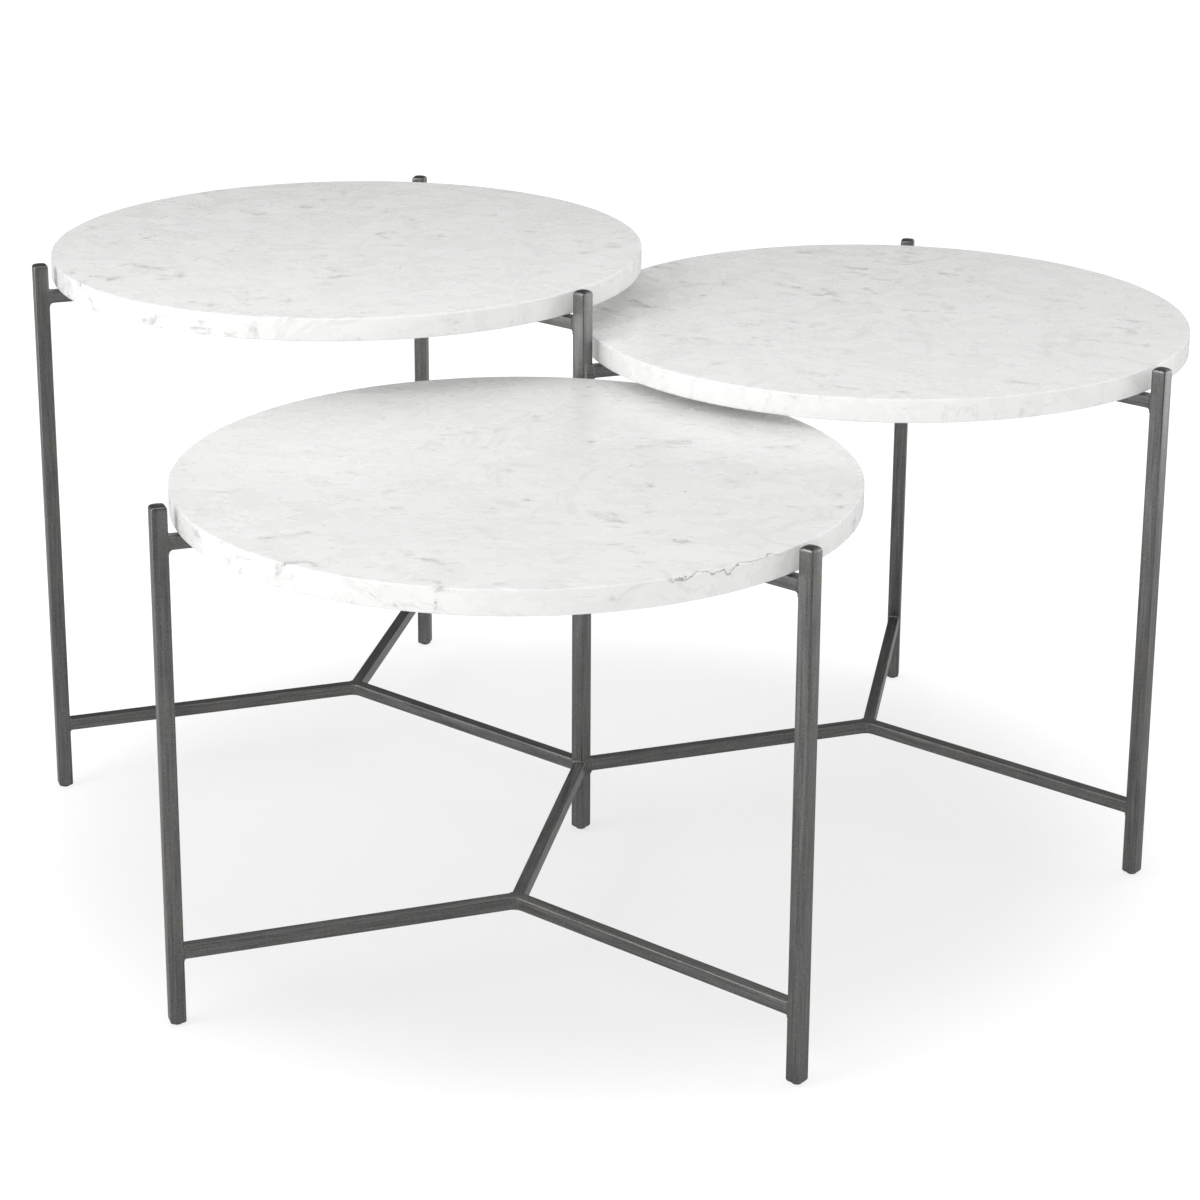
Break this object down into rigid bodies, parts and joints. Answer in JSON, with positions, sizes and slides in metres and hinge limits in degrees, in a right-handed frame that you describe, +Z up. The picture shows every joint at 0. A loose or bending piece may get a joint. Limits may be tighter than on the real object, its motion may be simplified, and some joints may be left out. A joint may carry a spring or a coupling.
{
  "type": "three-tier cluster coffee table",
  "caption": "Round marble tops at stepped heights on one welded frame of square steel bar, each top lifting off its pads.",
  "frame": {"origin": "the foot of the middle leg, on the floor", "axes": "+Z up; -Y from the middle leg towards the hub of the low table; the high table lies to -X and +Y, the mid table to +X and +Y"},
  "size_m": [0.9704, 0.9275, 0.473],
  "materials": {
    "gunmetal_steel": "square steel bar, welded and ground, satin gunmetal lacquer with a fine speckle",
    "marble_high": "honed white marble with faint grey clouds",
    "marble_mid": "honed white marble with faint grey streaks",
    "marble_low": "honed white marble with fine veins",
    "clear_silicone": "clear soft silicone bumper",
    "glide_nylon": "matt black nylon"
  },
  "bodies": {
    "frame": {"leg_centre": "gunmetal_steel", "leg_high_left": "gunmetal_steel", "leg_high_back": "gunmetal_steel", "leg_mid_back": "gunmetal_steel", "leg_mid_right": "gunmetal_steel", "leg_low_right": "gunmetal_steel", "leg_low_left": "gunmetal_steel", "stretcher_high_left": "gunmetal_steel", "stretcher_high_back": "gunmetal_steel", "stretcher_high_centre": "gunmetal_steel", "stretcher_mid_back": "gunmetal_steel", "stretcher_mid_right": "gunmetal_steel", "stretcher_mid_centre": "gunmetal_steel", "stretcher_low_right": "gunmetal_steel", "stretcher_low_left": "gunmetal_steel", "stretcher_low_centre": "gunmetal_steel", "rail_high_left": "gunmetal_steel", "rail_high_back": "gunmetal_steel", "rail_high_centre": "gunmetal_steel", "rail_mid_back": "gunmetal_steel", "rail_mid_right": "gunmetal_steel", "rail_mid_centre": "gunmetal_steel", "rail_low_right": "gunmetal_steel", "rail_low_left": "gunmetal_steel", "rail_low_centre": "gunmetal_steel", "pads_high": "clear_silicone", "pads_mid": "clear_silicone", "pads_low": "clear_silicone", "glide_centre": "glide_nylon", "glide_high_left": "glide_nylon", "glide_high_back": "glide_nylon", "glide_mid_back": "glide_nylon", "glide_mid_right": "glide_nylon", "glide_low_right": "glide_nylon", "glide_low_left": "glide_nylon"},
    "high_top": {"top_high": "marble_high"},
    "mid_top": {"top_mid": "marble_mid"},
    "low_top": {"top_low": "marble_low"}
  },
  "joints": [
    {"name": "high_top_lift", "type": "slide", "parent": "frame", "child": "high_top", "axis": [0, 0, 1], "range_m": [0, 0.08]},
    {"name": "mid_top_lift", "type": "slide", "parent": "frame", "child": "mid_top", "axis": [0, 0, 1], "range_m": [0, 0.018]},
    {"name": "low_top_lift", "type": "slide", "parent": "frame", "child": "low_top", "axis": [0, 0, 1], "range_m": [0, 0.006]}
  ]
}
